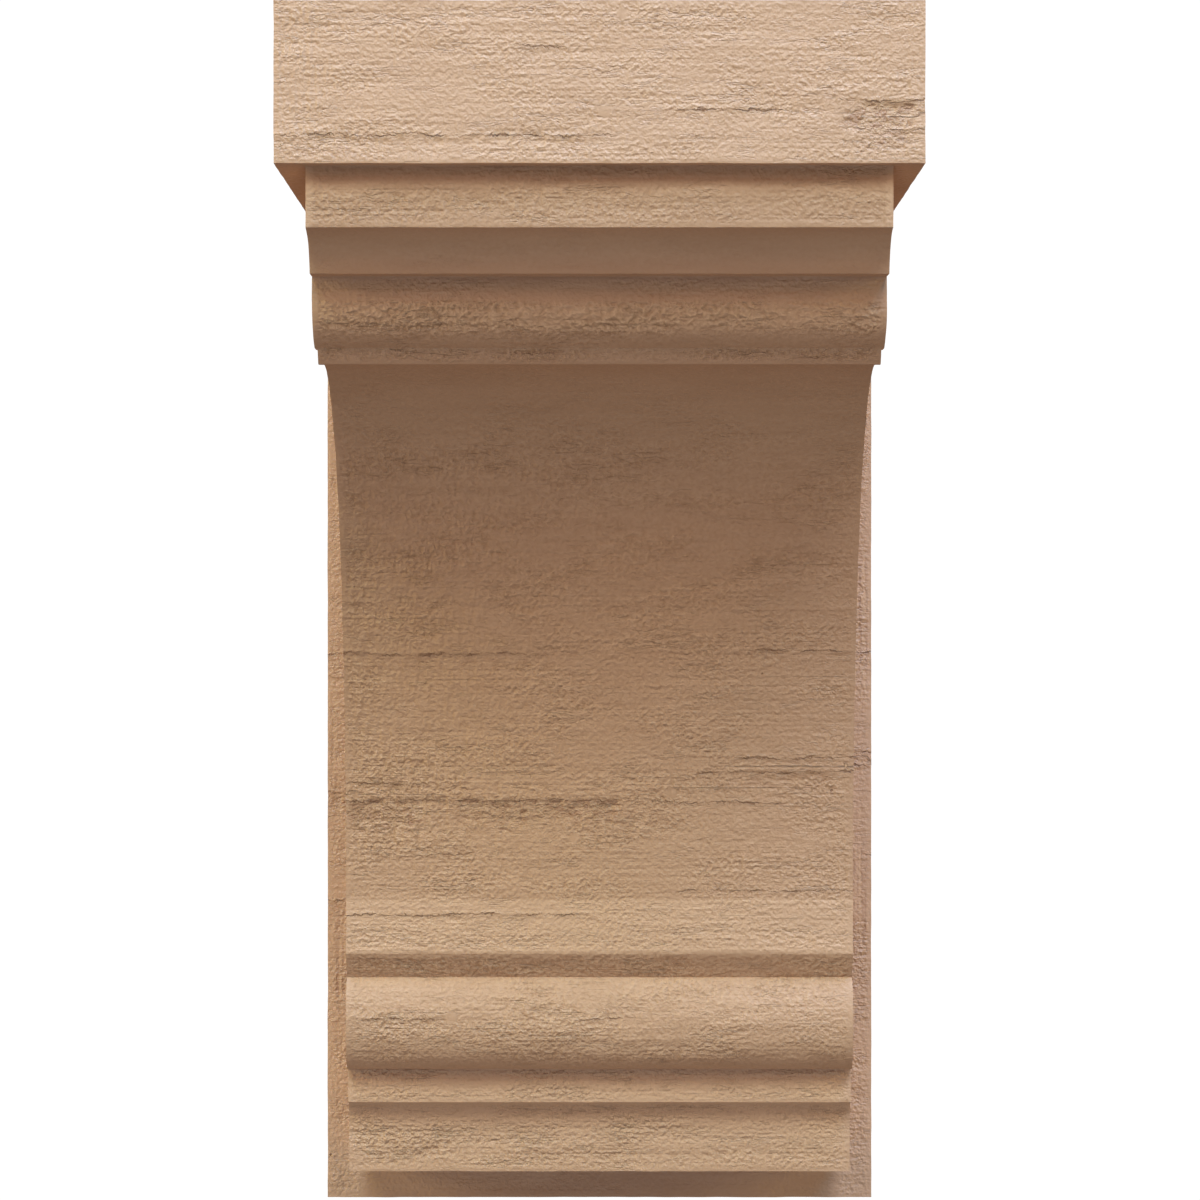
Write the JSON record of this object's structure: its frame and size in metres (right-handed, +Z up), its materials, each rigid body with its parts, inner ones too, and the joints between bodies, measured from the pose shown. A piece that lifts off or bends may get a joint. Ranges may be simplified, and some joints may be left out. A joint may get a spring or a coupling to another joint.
{
  "type": "wall corbel",
  "caption": "Square-topped wall corbel with a hollow-curved bracket, moulded front and back plate, finished as rough-sawn wood in tan urethane foam.",
  "frame": {"origin": "centre of the flat back face, on the wall", "axes": "+Z up, +Y out of the back face into the wall, -Y the way the corbel stands out, +X along its width"},
  "size_m": [0.2032, 0.2032, 0.4064],
  "materials": {
    "urethane": "rigid urethane foam cast in a rough-sawn wood texture, with an even tan factory coat, matt with a faint sheen on the ridges"
  },
  "bodies": {
    "root": {"corbel": "urethane"}
  },
  "joints": []
}
